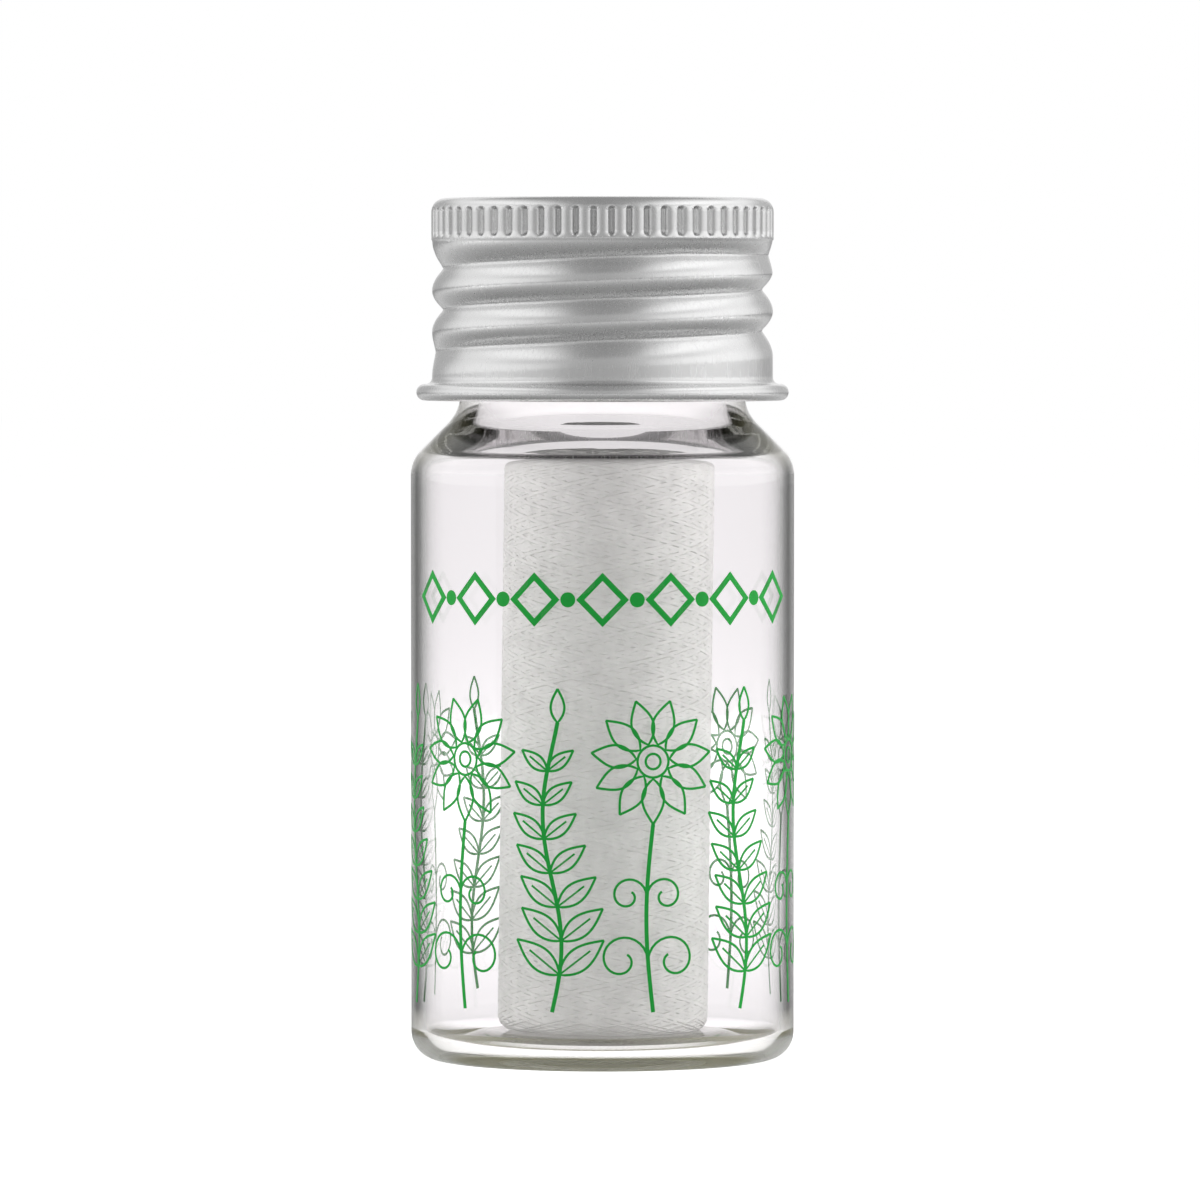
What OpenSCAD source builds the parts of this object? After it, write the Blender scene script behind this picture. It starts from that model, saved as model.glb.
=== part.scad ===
// Refillable dental floss dispenser.
// A glass vial with a threaded neck, a rolled metal screw cap and its liner, a stamped
// cutter plug in the mouth, and a bobbin of cross-wound floss inside.
// Millimetres. +Z runs up the vial's axis, and the origin is the centre of its base.

/* [Glass vial] */
// Outer diameter of the body
body_d = 28; // [26:0.5:32]
// Thickness of the glass round the body
glass_wall = 1; // [0.8:0.1:1.4]
// Height of the glass floor above the surface that the vial stands on
floor_h = 2; // [1.6:0.1:3]
// Radius of the heel, where the body rounds into the base
heel_r = 2; // [1.4:0.1:2.6]
// Radius of the inside corner between the floor and the wall
inner_heel_r = 1.6; // [0.8:0.1:2.4]
// Width of the flat ring that the vial stands on
stand_ring_w = 0.9; // [0.6:0.1:1.4]
// Height of the shallow dip in the underside
punt_h = 0.4; // [0.2:0.1:0.8]
// Width of the slope round that dip
punt_slope_w = 1.2; // [0.6:0.1:2]
// Height at which the body starts to round into the shoulder
body_h = 42.75; // [38:0.25:48]
// Radius of the rounding at the top of the body
shoulder_r = 2.5; // [2:0.1:3]
// Slope of the shoulder from the level, in degrees
shoulder_slope = 45; // [40:1:50]
// Slope of the inside of the shoulder from the level, in degrees
ceiling_slope = 15; // [8:1:22]
// Radius of the hollow curve from the shoulder into the neck
neck_fillet_r = 3; // [2.5:0.1:3.6]
// Radius of the curve from the inside of the shoulder into the mouth
mouth_fillet_r = 1.4; // [1:0.1:2]
// Thickness of the glass round the mouth
neck_wall = 1.4; // [1.2:0.1:1.8]
// Height of the neck above its curve into the shoulder
neck_h = 12.63; // [12.2:0.01:13.4]
// Radius of the rounded outer edge of the rim
rim_outer_r = 0.7; // [0.4:0.1:0.8]
// Radius of the rounded inner edge of the rim
rim_inner_r = 0.6; // [0.5:0.1:0.7]

/* [Screw thread] */
// Rise of the thread in one turn
pitch = 3; // [2.9:0.05:3.2]
// Height of the thread of the glass above the neck
thread_h = 1.45; // [1.2:0.05:1.5]
// Width of the thread of the glass at its root
thread_w = 2.1; // [1.8:0.1:2.2]
// Turns of the thread of the glass
thread_turns = 1.75; // [1.25:0.05:1.85]
// Depth of the upper end of the glass thread below the rim
thread_drop = 2.37; // [2.2:0.01:3]
// Depth below the rim of the groove of the cap, where the groove crosses the +X side
groove_drop = 8; // [7.6:0.1:8.4]
// Height of the glass thread above the groove of the cap that bears on it from below
thread_lift = 1.3; // [1.25:0.05:1.5]

/* [Screw cap] */
// Height of the cap
cap_h = 14.75; // [14.25:0.05:15.25]
// Thickness of the aluminium sheet
sheet = 0.25; // [0.2:0.01:0.3]
// Outer diameter of the cap, over the rolled bead at its lower edge
bead_d = 27.2; // [26.8:0.1:27.6]
// Diameter of the roll of the bead
bead_roll_d = 1.2; // [1:0.1:1.3]
// Width by which the bead stands out from the wall of the cap
bead_out = 1.15; // [1:0.05:1.3]
// Height of the flare from the wall to the bead
flare_h = 1; // [0.6:0.1:1.4]
// Depth of the rolled groove
groove_depth = 0.8; // [0.5:0.05:0.85]
// Height of the plain wall that is left between two turns of the groove
groove_land = 0.2; // [0.15:0.05:0.6]
// Height of the lower end of the groove above the lower edge of the cap
groove_foot = 3.45; // [3.1:0.05:4]
// Depth of the upper end of the groove below the knurled band
groove_head = 0.95; // [0.8:0.05:1.6]
// Radius of the rounded edge of the top
edge_r = 1; // [0.6:0.1:1.2]
// Width by which the knurled band stands out from the wall of the cap
knurl_out = 0.05; // [0:0.05:0.3]
// Height of the knurled band, from the top of the cap
knurl_h = 3; // [2.8:0.1:3.2]
// Number of pressed slots in the knurled band
slot_count = 60; // [40:2:66]
// Height of a slot
slot_h = 2.1; // [1.6:0.1:2.2]
// Width of a slot
slot_w = 0.85; // [0.6:0.05:0.95]
// Depth of a slot
slot_depth = 0.2; // [0.15:0.01:0.25]
// Thickness of the liner under the top
liner_h = 1; // [0.6:0.1:1.5]

/* [Cutter plug] */
// Thickness of the steel sheet
steel = 0.3; // [0.2:0.05:0.4]
// Width by which the flange on the rim stays inside the outside of the neck
flange_inset = 0.2; // [0:0.1:0.6]
// Depth of the plug below the top of its flange
plug_h = 3.3; // [2.8:0.1:4]
// Radius of the bends of the sheet, on their hollow side
bend_r = 0.5; // [0.3:0.1:0.8]
// Diameter of the hole for the floss
exit_d = 1.2; // [0.8:0.1:2]
// Distance from the middle of the plug to the hole for the floss
exit_offset = 3.4; // [2.8:0.1:5]
// Length of the cutting tongue
tongue_l = 4.6; // [3.5:0.1:5]
// Width of the cutting tongue
tongue_w = 2.6; // [1.8:0.1:3.2]
// Angle of the tongue above the floor of the plug, in degrees
tongue_tilt = 24; // [15:1:30]
// Width of the slot that parts the tongue from the floor
lance_gap = 0.4; // [0.2:0.05:0.6]
// Width of the notch in the tip of the tongue
notch_w = 1.1; // [0.6:0.1:1.4]
// Depth of the notch in the tip of the tongue
notch_l = 1.3; // [0.8:0.1:1.8]

/* [Floss bobbin] */
// Outer diameter over the winding
bobbin_d = 15.4; // [14.6:0.1:16.2]
// Height of the bobbin
bobbin_h = 43; // [38:0.5:44]
// Radius of the rounded edges of its ends
bobbin_edge_r = 1.2; // [0.6:0.1:1.6]
// Diameter of the hollow left by the winding spindle
spindle_d = 3.6; // [2.5:0.1:4.5]
// Lean of the bobbin towards +X, in degrees
bobbin_lean = 0.7; // [0:0.1:1.2]
// Thickness of the strand of the outer layer
strand_d = 0.4; // [0.3:0.01:0.45]
// Clear space between strands that cross
strand_gap = 0.42; // [0.41:0.01:0.5]
// Strokes of the strand from one end of the bobbin to the other
strokes = 6; // [2:2:6]
// Turns of the strand in one stroke
stroke_turns = 3.8333; // [3.1667:0.3333:3.8333]
// Distance from the ends of the bobbin to the outermost strands
stroke_margin = 1.3; // [1.1:0.1:3]

/* [Fits] */
// Clear space between faces that rest on each other
seat_gap = 0.03; // [0.02:0.01:0.05]
// Clear space between the thread of the glass and the wall of the cap
thread_gap = 0.35; // [0.3:0.05:0.45]
// Clear space round the plug in the mouth
plug_gap = 0.1; // [0.05:0.01:0.2]
// Clear space round the liner in the cap
liner_gap = 0.15; // [0.1:0.01:0.3]
// Clear space between the strand and the layers under it
layer_gap = 0.1; // [0.05:0.01:0.2]
// Clear space between the free edge of the bead and the wall of the cap
curl_gap = 0.1; // [0.05:0.01:0.15]

/* [Hidden] */
$fn = 96;

// Length that a cut runs past what it cuts
overrun = 0.5;
// Depth to which the threads are rooted in their walls
root_sink = 0.3;
// Height by which the ends of the rolled groove leave the wall of the cap
groove_runout = 0.1;
// Steps in an arc of an outline, and facets in one turn of a thread and of the strand
arc_steps = 8;
thread_facets = 36;
strand_facets = 24;
strand_sides = 6;
// Steps across the section of a thread
thread_steps = 6;
// Angle over which a thread fades in and out
thread_fade = 45;
// Half the angle over which the strand turns back, and over which it changes layer
turn_back = 40;
layer_change = 30;

// Radii from the bead of the cap inwards, through the thread and the neck to the mouth
bead_roll_r = bead_roll_d / 2;
bead_mid_r = bead_d / 2 - bead_roll_r;
cap_r = bead_d / 2 - bead_out;
knurl_r = cap_r + knurl_out;
thread_r = cap_r - sheet - thread_gap;
neck_r = thread_r - thread_h;
mouth_r = neck_r - neck_wall;

// Glass
body_r = body_d / 2;
bore_r = body_r - glass_wall;
shoulder_turn = 90 - shoulder_slope;
ceiling_turn = 90 - ceiling_slope;
shoulder_mid_r = body_r - shoulder_r;
inner_shoulder_r = shoulder_r - glass_wall;
slope_foot_r = shoulder_mid_r + shoulder_r * cos(shoulder_turn);
slope_foot_z = body_h + shoulder_r * sin(shoulder_turn);
slope_head_r = neck_r + neck_fillet_r * (1 - cos(shoulder_turn));
slope_head_z = slope_foot_z + (slope_foot_r - slope_head_r) * tan(shoulder_slope);
neck_foot_z = slope_head_z + neck_fillet_r * sin(shoulder_turn);
ceiling_foot_r = shoulder_mid_r + inner_shoulder_r * cos(ceiling_turn);
ceiling_foot_z = body_h + inner_shoulder_r * sin(ceiling_turn);
ceiling_head_r = mouth_r + mouth_fillet_r * (1 - cos(ceiling_turn));
ceiling_head_z = ceiling_foot_z + (ceiling_foot_r - ceiling_head_r) * tan(ceiling_slope);
mouth_foot_z = ceiling_head_z + mouth_fillet_r * sin(ceiling_turn);
rim_z = neck_foot_z + neck_h;
ring_in_r = body_r - heel_r - stand_ring_w;

// Plug, liner and cap, stacked on the rim
flange_z = rim_z + seat_gap;
liner_z = flange_z + steel + seat_gap;
cap_under_z = liner_z + liner_h + seat_gap;
cap_top_z = cap_under_z + sheet;
cap_bottom_z = cap_top_z - cap_h;

// Cap
knurl_in_r = knurl_r - slot_depth - sheet;
knurl_z = cap_top_z - knurl_h;
slot_r = (pow(slot_w / 2, 2) + pow(slot_depth, 2)) / (2 * slot_depth);
bead_z = cap_bottom_z + bead_roll_r;
flare_r = bead_mid_r - bead_roll_r + sheet;
liner_r = knurl_in_r - liner_gap;

// Angles from +X at which the cap's groove and the glass thread start and end
groove_w = pitch - groove_land;
groove_start = 360 * (groove_drop - rim_z + cap_bottom_z + groove_foot) / pitch;
groove_end = 360 * (groove_drop - rim_z + knurl_z - groove_head) / pitch;
thread_end = 360 * (groove_drop - thread_lift - thread_drop) / pitch;
thread_start = thread_end - 360 * thread_turns;

// Plug
flange_r = neck_r - flange_inset;
plug_r = mouth_r - plug_gap;
plug_floor_z = flange_z + steel - plug_h;
tongue_root_x = exit_offset + exit_d;

// Bobbin: the outer and inner paths of the strand, the packed layers under the outer one, and the
// bed in them that the inner one lies in
outer_path_r = bobbin_d / 2 - strand_d / 2;
chord_sag = outer_path_r * (1 - cos(180 / strand_facets));
inner_path_r = outer_path_r - chord_sag - strand_d - strand_gap;
pack_r = outer_path_r * cos(180 / strand_facets) - strand_d / 2 - layer_gap;
bed_half = strand_d / 2 + layer_gap;
bed_top = pack_r - inner_path_r + overrun;
bobbin_z = floor_h + seat_gap + pack_r * sin(bobbin_lean);

// Points of an arc, as [x, y] pairs
function arc(cx, cy, r, from, to) =
    [for (i = [0 : arc_steps]) let (a = from + (to - from) * i / arc_steps) [cx + r * cos(a), cy + r * sin(a)]];

// Smooth rise from 0 to 1
function ease(x) = let (t = min(1, max(0, x))) t * t * (3 - 2 * t);

// How far a thread stands out at an angle, from 0 at its ends to 1
function fade(angle, from, to) = ease((angle - from) / thread_fade) * ease((to - angle) / thread_fade);

// Height of the middle of the cap's groove at an angle
function groove_z(angle) = rim_z - groove_drop + pitch * angle / 360;

// Angles of the rings of a thread
function ring_angles(from, to) =
    let (count = round(thread_facets * (to - from) / 360))
    [for (i = [0 : count]) from + (to - from) * i / count];

// One ring of a thread: a section of [radius, height] pairs turned to its angle
function thread_ring(section, angle, z) = [for (p = section) [p[0] * cos(angle), p[0] * sin(angle), z + p[1]]];

// A closed skin over rings of points, with a fan at each end
module skin(rings) {
    n = len(rings[0]);
    top = (len(rings) - 1) * n;
    sides = [
        for (i = [0 : n : top - n], j = [0 : n - 1])
            let (a = i + j, b = i + (j + 1) % n)
            each [[a, b, b + n], [a, b + n, a + n]]
    ];
    ends = [for (j = [1 : n - 2]) each [[0, j + 1, j], [top, top + j, top + j + 1]]];
    polyhedron(points = [for (ring = rings) each ring], faces = concat(sides, ends));
}

// The glass: a wall turned round the axis
module glass_body() {
    outside = concat(
        [[0, punt_h], [ring_in_r - punt_slope_w, punt_h], [ring_in_r, 0]],
        arc(body_r - heel_r, heel_r, heel_r, -90, 0),
        arc(shoulder_mid_r, body_h, shoulder_r, 0, shoulder_turn),
        arc(neck_r + neck_fillet_r, neck_foot_z, neck_fillet_r, 180 + shoulder_turn, 180),
        arc(neck_r - rim_outer_r, rim_z - rim_outer_r, rim_outer_r, 0, 90)
    );
    inside = concat(
        arc(mouth_r + rim_inner_r, rim_z - rim_inner_r, rim_inner_r, 90, 180),
        arc(mouth_r + mouth_fillet_r, mouth_foot_z, mouth_fillet_r, 180, 180 + ceiling_turn),
        arc(shoulder_mid_r, body_h, inner_shoulder_r, ceiling_turn, 0),
        arc(bore_r - inner_heel_r, floor_h + inner_heel_r, inner_heel_r, 0, -90),
        [[0, floor_h]]
    );
    rotate_extrude() polygon(concat(outside, inside));
}

// The thread of the glass: a round ridge, rooted in the neck
module glass_thread() {
    root_r = neck_r - root_sink;
    skin([
        for (angle = ring_angles(thread_start, thread_end))
            let (crest_h = root_sink / 2 + (thread_h + root_sink / 2) * fade(angle, thread_start, thread_end))
            thread_ring(
                [
                    for (k = [0 : thread_steps])
                        let (a = 180 * k / thread_steps - 90)
                        [root_r + crest_h * cos(a), thread_w / 2 * sin(a)]
                ],
                angle,
                groove_z(angle) + thread_lift
            )
    ]);
}

module glass_vial() {
    color("lightcyan", 0.4) {
        glass_body();
        glass_thread();
    }
}

// Section of the rolled groove: a wave between two radii, closed at a third
function wave(base_r, depth, back_r) = concat(
    [
        for (k = [0 : thread_steps])
            let (s = 2 * k / thread_steps - 1)
            [base_r - depth * (1 + cos(180 * s)) / 2, s * groove_w / 2]
    ],
    [[back_r, groove_w / 2], [back_r, -groove_w / 2]]
);

// A wave that follows the groove of the cap. The ends fade back to base_r.
module groove_wave(base_r, depth, back_r) {
    rings = [
        for (angle = ring_angles(groove_start, groove_end))
            let (here = depth * fade(angle, groove_start, groove_end))
            thread_ring(wave(base_r, here, back_r), angle, groove_z(angle))
    ];
    skin(back_r > base_r ? [for (ring = rings) [for (i = [len(ring) - 1 : -1 : 0]) ring[i]]] : rings);
}

// The cap before its thread is rolled: a thin shell with its edge curled into a bead
module cap_shell() {
    rotate_extrude() {
        difference() {
            polygon(concat(
                [[0, cap_top_z]],
                arc(knurl_r - edge_r, cap_top_z - edge_r, edge_r, 90, 0),
                [
                    [knurl_r, knurl_z],
                    [cap_r, knurl_z - (knurl_r - cap_r)],
                    [cap_r, bead_z + bead_roll_r + flare_h],
                    [flare_r, bead_z + bead_roll_r],
                    [flare_r, bead_z],
                    [0, bead_z]
                ]
            ));
            polygon(concat(
                [[0, cap_under_z]],
                arc(knurl_in_r - edge_r + sheet, cap_under_z - edge_r + sheet, edge_r - sheet, 90, 0),
                [
                    [knurl_in_r, knurl_z],
                    [cap_r - sheet, knurl_z - (cap_r - sheet - knurl_in_r)],
                    [cap_r - sheet, bead_z + bead_roll_r + flare_h],
                    [flare_r - sheet, bead_z + bead_roll_r],
                    [flare_r - sheet, cap_bottom_z - overrun],
                    [0, cap_bottom_z - overrun]
                ]
            ));
        }
        translate([bead_mid_r, bead_z]) bead_section();
    }
}

// Section of the bead: the sheet curled outwards and up, with its free edge just off the wall
module bead_section() {
    difference() {
        circle(bead_roll_r);
        circle(bead_roll_r - sheet);
        translate([sheet - bead_roll_r, 0]) square([curl_gap, bead_roll_r + overrun]);
    }
}

// The pressed slots of the knurled band, with square upper ends and round lower ones
module knurl_slots() {
    slot_top_z = knurl_z + (knurl_h - edge_r + slot_h) / 2;
    for (i = [0 : slot_count - 1]) {
        rotate(360 * i / slot_count) {
            translate([knurl_r - slot_depth + slot_r, 0, slot_top_z - slot_h + slot_r]) {
                cylinder(r = slot_r, h = slot_h - slot_r, $fn = 24);
                sphere(slot_r, $fn = 24);
            }
        }
    }
}

module screw_cap() {
    color("silver") {
        difference() {
            union() {
                cap_shell();
                groove_wave(cap_r - sheet / 2, groove_depth + sheet / 2, cap_r - sheet / 4);
            }
            groove_wave(cap_r + groove_runout, groove_depth + groove_runout, cap_r + overrun);
            knurl_slots();
        }
    }
}

// The liner: a disc whose upper edge follows the rounded inside corner of the cap
module cap_liner() {
    corner_r = min(edge_r - sheet, liner_h);
    color("white") {
        rotate_extrude() {
            polygon(concat(
                [[0, liner_z + liner_h], [0, liner_z], [liner_r, liner_z]],
                arc(liner_r - corner_r, liner_z + liner_h - corner_r, corner_r, 0, 90)
            ));
        }
    }
}

// The plug: a shallow cup whose flange lies on the rim, bent from one sheet
module plug_cup() {
    rotate_extrude() {
        translate([0, plug_floor_z]) square([plug_r - steel - bend_r, steel]);
        translate([plug_r - steel, plug_floor_z + steel + bend_r]) {
            square([steel, plug_h - 2 * (steel + bend_r)]);
        }
        translate([plug_r + bend_r, flange_z]) square([flange_r - plug_r - bend_r, steel]);
        intersection() {
            translate([plug_r - steel - bend_r, plug_floor_z + steel + bend_r]) sheet_ring();
            translate([plug_r - steel - bend_r, plug_floor_z]) square(steel + bend_r);
        }
        intersection() {
            translate([plug_r + bend_r, flange_z - bend_r]) sheet_ring();
            translate([plug_r - steel, flange_z - bend_r]) square(steel + bend_r);
        }
    }
}

// Ring whose quarters are the bends of the sheet
module sheet_ring() {
    difference() {
        circle(bend_r + steel);
        circle(bend_r);
    }
}

// The tongue, lying flat with its root at the origin and its tip towards -X
module tongue() {
    difference() {
        translate([-tongue_l, -tongue_w / 2, 0]) cube([tongue_l + steel, tongue_w, steel]);
        translate([-tongue_l, 0, -overrun]) {
            linear_extrude(steel + 2 * overrun) {
                polygon([[-overrun, -notch_w / 2], [0, -notch_w / 2], [notch_l, 0], [0, notch_w / 2], [-overrun, notch_w / 2]]);
            }
        }
    }
}

module cutter_plug() {
    color("lightsteelblue") {
        difference() {
            plug_cup();
            translate([-exit_offset, 0, plug_floor_z - overrun]) cylinder(d = exit_d, h = steel + 2 * overrun);
            translate([tongue_root_x - tongue_l, -tongue_w / 2 - lance_gap, plug_floor_z - overrun]) {
                cube([tongue_l, tongue_w + 2 * lance_gap, steel + 2 * overrun]);
            }
        }
        translate([tongue_root_x, 0, plug_floor_z]) rotate([0, tongue_tilt, 0]) tongue();
    }
}

// Stands the bobbin on the floor of the vial, with its lean
module lean() {
    translate([0, 0, bobbin_z]) rotate([0, bobbin_lean, 0]) children();
}

// Angle past the turn at the end of a stroke that is nearest to an angle
function past_turn(angle) = angle - round(angle / (360 * stroke_turns)) * 360 * stroke_turns;

// Height of the strand at an angle: up and down between the ends, with rounded turns
function strand_z(angle) =
    let (
        half = 360 * stroke_turns,
        away = abs(past_turn(angle)),
        rounded = away < turn_back ? (away * away / turn_back + turn_back) / 2 : away,
        share = (rounded - turn_back / 2) / (half - turn_back),
        at_top = round(angle / half) % 2 == 1,
        travel = bobbin_h - 2 * stroke_margin
    )
    stroke_margin + travel * (at_top ? 1 - share : share);

// Radius of the strand at an angle: the rising strokes lie inside and the falling ones outside
function strand_r(angle) =
    let (
        turn = round(angle / (360 * stroke_turns)),
        change = ease((past_turn(angle) + layer_change) / (2 * layer_change)),
        out = turn == 0 ? 0 : turn == strokes ? 1 : turn % 2 == 1 ? change : 1 - change
    )
    inner_path_r + (outer_path_r - inner_path_r) * out;

function strand_point(angle) = [strand_r(angle) * cos(angle), strand_r(angle) * sin(angle), strand_z(angle)];

// The path of the strand, with a straight end one diameter long at each end
function strand_path() =
    let (
        last = 360 * stroke_turns * strokes,
        count = round(strand_facets * stroke_turns * strokes),
        body = [for (i = [0 : count]) strand_point(last * i / count)]
    )
    concat(
        [body[0] + strand_d * [0, -1, 0]],
        body,
        [body[count] + strand_d * [-sin(last), cos(last), 0]]
    );

// Directions of the strand at a point of its path: outwards and sideways
function strand_axes(path, i) =
    let (
        along = path[min(i + 1, len(path) - 1)] - path[max(i - 1, 0)],
        forward = along / norm(along),
        across = cross([path[i][0], path[i][1], 0], forward),
        side = across / norm(across)
    )
    [cross(forward, side), side];

// One ring round a point of the path: a section of [outwards, sideways] pairs
function strand_ring(section, path, i) =
    let (axes = strand_axes(path, i))
    [for (p = section) path[i] + p[0] * axes[0] + p[1] * axes[1]];

// Least clear space between two parts of the path that are at least a third of a turn apart
function least_gap(path) =
    let (
        middles = [for (i = [0 : len(path) - 2]) (path[i] + path[i + 1]) / 2],
        apart = strand_facets / 3
    )
    min([
        for (i = [0 : len(middles) - 1], j = [i + apart : 1 : len(middles) - 1])
            min(norm(path[i] - path[j]), norm(middles[i] - path[j]), norm(path[i] - middles[j]))
    ]) - strand_d;

// The grooves that the rising strokes press into the layers under them, and their ways in and out
module strand_bed() {
    path = strand_path();
    open_path = concat([path[0] - overrun * [0, 1, 0]], [for (i = [1 : len(path) - 1]) path[i]]);
    section = [[bed_top, bed_half], [-bed_half, bed_half], [-bed_half, -bed_half], [bed_top, -bed_half]];
    steps = (len(path) - 3) / strokes;
    change = ceil(strand_facets * layer_change / 360);
    for (stroke = [0 : 2 : strokes - 1]) {
        first = max(0, stroke * steps + 1 - change);
        last = (stroke + 1) * steps + 1 + change;
        skin([for (i = [first : last]) strand_ring(section, open_path, i)]);
    }
}

// The packed inner layers, with the bed of the strand
module floss_bobbin() {
    color("whitesmoke") lean() {
        difference() {
            rotate_extrude() {
                polygon(concat(
                    [[spindle_d / 2, 0]],
                    arc(pack_r - bobbin_edge_r, bobbin_edge_r, bobbin_edge_r, -90, 0),
                    arc(pack_r - bobbin_edge_r, bobbin_h - bobbin_edge_r, bobbin_edge_r, 0, 90),
                    [[spindle_d / 2, bobbin_h]]
                ));
            }
            strand_bed();
        }
    }
}

// The outer layer: one strand, wound up and down the bobbin so that its turns cross
module floss_winding() {
    path = strand_path();
    angles = [for (k = [0 : strand_sides - 1]) 360 * k / strand_sides];
    section = [for (a = angles) strand_d / 2 * [cos(a), sin(a)]];
    echo(least_gap_of_the_strand_to_itself = least_gap(path));
    color("white") lean() {
        skin([for (i = [0 : len(path) - 1]) strand_ring(section, path, i)]);
    }
}

glass_vial();
screw_cap();
cap_liner();
cutter_plug();
floss_bobbin();
floss_winding();
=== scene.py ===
import logging
import math
from collections.abc import Callable, Sequence
from dataclasses import dataclass, field
from enum import Enum
from functools import partial
from typing import Any

import bpy
import numpy as np
from bpy.types import Material, Node, NodeSocket, NodeTree, Object
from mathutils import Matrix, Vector

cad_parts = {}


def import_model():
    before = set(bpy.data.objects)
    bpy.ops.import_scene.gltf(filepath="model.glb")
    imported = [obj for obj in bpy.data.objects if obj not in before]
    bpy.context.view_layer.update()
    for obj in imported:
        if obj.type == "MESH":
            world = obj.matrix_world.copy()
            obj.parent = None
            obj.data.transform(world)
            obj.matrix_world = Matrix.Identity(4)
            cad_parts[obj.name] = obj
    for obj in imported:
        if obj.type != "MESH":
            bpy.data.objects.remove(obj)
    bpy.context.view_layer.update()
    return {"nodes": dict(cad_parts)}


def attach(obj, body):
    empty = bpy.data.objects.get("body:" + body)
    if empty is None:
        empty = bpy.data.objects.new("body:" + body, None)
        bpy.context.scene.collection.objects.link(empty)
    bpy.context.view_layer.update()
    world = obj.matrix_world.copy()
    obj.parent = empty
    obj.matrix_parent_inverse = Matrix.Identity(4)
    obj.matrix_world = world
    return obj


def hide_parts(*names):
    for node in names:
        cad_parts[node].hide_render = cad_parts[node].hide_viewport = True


LOG = logging.getLogger("floss_dispenser")
MM = 0.001
# The vial's mark of how strongly the painted limb shade shows, under 0 on the floor, which the glass reads
PAINTED_SHADE_MARK = "outside"
WHITE = "#FFFFFF"
Point = tuple[float, float]
Adder = Callable[..., Node]


def linear(code: str) -> tuple[float, float, float, float]:
    """Turn an sRGB hex colour into the linear colour that a shader takes.

    Args:
        code: The colour as "#RRGGBB".

    Returns:
        Linear red, green and blue, and full alpha.
    """
    shares = [int(code[i : i + 2], 16) / 255 for i in (1, 3, 5)]
    red, green, blue = (s / 12.92 if s <= 0.04045 else ((s + 0.055) / 1.055) ** 2.4 for s in shares)
    return red, green, blue, 1.0


def add_node(
    tree: NodeTree, kind: str, inputs: dict[Any, Any] | None = None,
    stops: Sequence[Point] = (), **settings: Any,
) -> Node:
    """Add a node to a tree, with its settings, values and links.

    Args:
        tree: The node tree of a material or the world.
        kind: The node's type, without the word ShaderNode before it.
        inputs: By name or number of the input, a value, or the socket or the node to link.
        stops: For a colour ramp, pairs of place and grey level, in rising order of place.
        settings: Properties of the node.

    Returns:
        The new node.
    """
    node = tree.nodes.new("ShaderNode" + kind)
    for name, value in settings.items():
        setattr(node, name, value)
    for name, value in (inputs or {}).items():
        socket = next(s for i, s in enumerate(node.inputs) if s.enabled and name in (i, s.name))
        if isinstance(value, Node):
            value = next(s for s in value.outputs if s.enabled)
        if isinstance(value, NodeSocket):
            tree.links.new(value, socket)
        else:
            socket.default_value = value
    if stops:
        elements = node.color_ramp.elements
        while len(elements) < len(stops):
            elements.new(0.5)
        for element, (place, grey) in zip(elements, stops):
            element.position = place
            element.color = (grey, grey, grey, 1)
    return node


def arc(centre: Point, radius: float, start: float, end: float, steps: int = 12) -> list[Point]:
    """Points of an arc in an outline, between two angles in degrees from outwards towards upwards."""
    angles = [math.radians(start + (end - start) * i / steps) for i in range(steps + 1)]
    return [(centre[0] + radius * math.cos(a), centre[1] + radius * math.sin(a)) for a in angles]


def refined(outline: Sequence[Point], step: float) -> list[Point]:
    """Split the long straight parts of an outline, so that its shading stays even.

    Args:
        outline: The outline's points.
        step: The longest distance to leave between two points.

    Returns:
        The outline with the points added.
    """
    points = [outline[0]]
    for last, point in zip(outline, outline[1:]):
        pieces = max(1, math.ceil(math.dist(last, point) / step))
        points += [
            (last[0] + (point[0] - last[0]) * i / pieces, last[1] + (point[1] - last[1]) * i / pieces)
            for i in range(1, pieces + 1)
        ]
    return points


def ease(x: np.ndarray | float) -> Any:
    """Rise smoothly from 0 to 1 as x goes from 0 to 1."""
    t = np.clip(x, 0, 1)
    return t * t * (3 - 2 * t)


def mesh_object(name: str, points: np.ndarray, faces: Sequence[Sequence[int]], smooth: bool = True) -> Object:
    """Make an object from points in millimetres.

    Args:
        name: The piece's name.
        points: The vertices, in millimetres in the frame of the part.
        faces: Vertex numbers of each face.
        smooth: Whether the faces are shaded smooth.

    Returns:
        The object, linked to the scene.
    """
    mesh = bpy.data.meshes.new(name)
    mesh.from_pydata((np.asarray(points) * MM).tolist(), [], faces)
    mesh.polygons.foreach_set("use_smooth", [smooth] * len(mesh.polygons))
    mesh.update()
    piece = bpy.data.objects.new(name, mesh)
    bpy.context.scene.collection.objects.link(piece)
    return piece


def finished(piece: Object, finish: Material, slot: str, body: str, *nodes: str) -> Object:
    """Give a piece its finish and its place in the part.

    Args:
        piece: The piece.
        finish: Its material.
        slot: The record's material slot; not used.
        body: The body that it moves with.
        nodes: The CAD nodes that it stands for.

    Returns:
        The piece.
    """
    piece.data.materials.append(finish)
    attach(piece, body)
    if nodes:
        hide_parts(*nodes)
    return piece


class Ends(Enum):
    """How the outline of a turned shape ends."""

    POLES = "both ends on the axis"
    LOOP = "the last point joins the first"


def even_angles(count: int) -> np.ndarray:
    """Angles of count even facets, in degrees from +X."""
    return np.arange(count) * 360 / count


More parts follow.
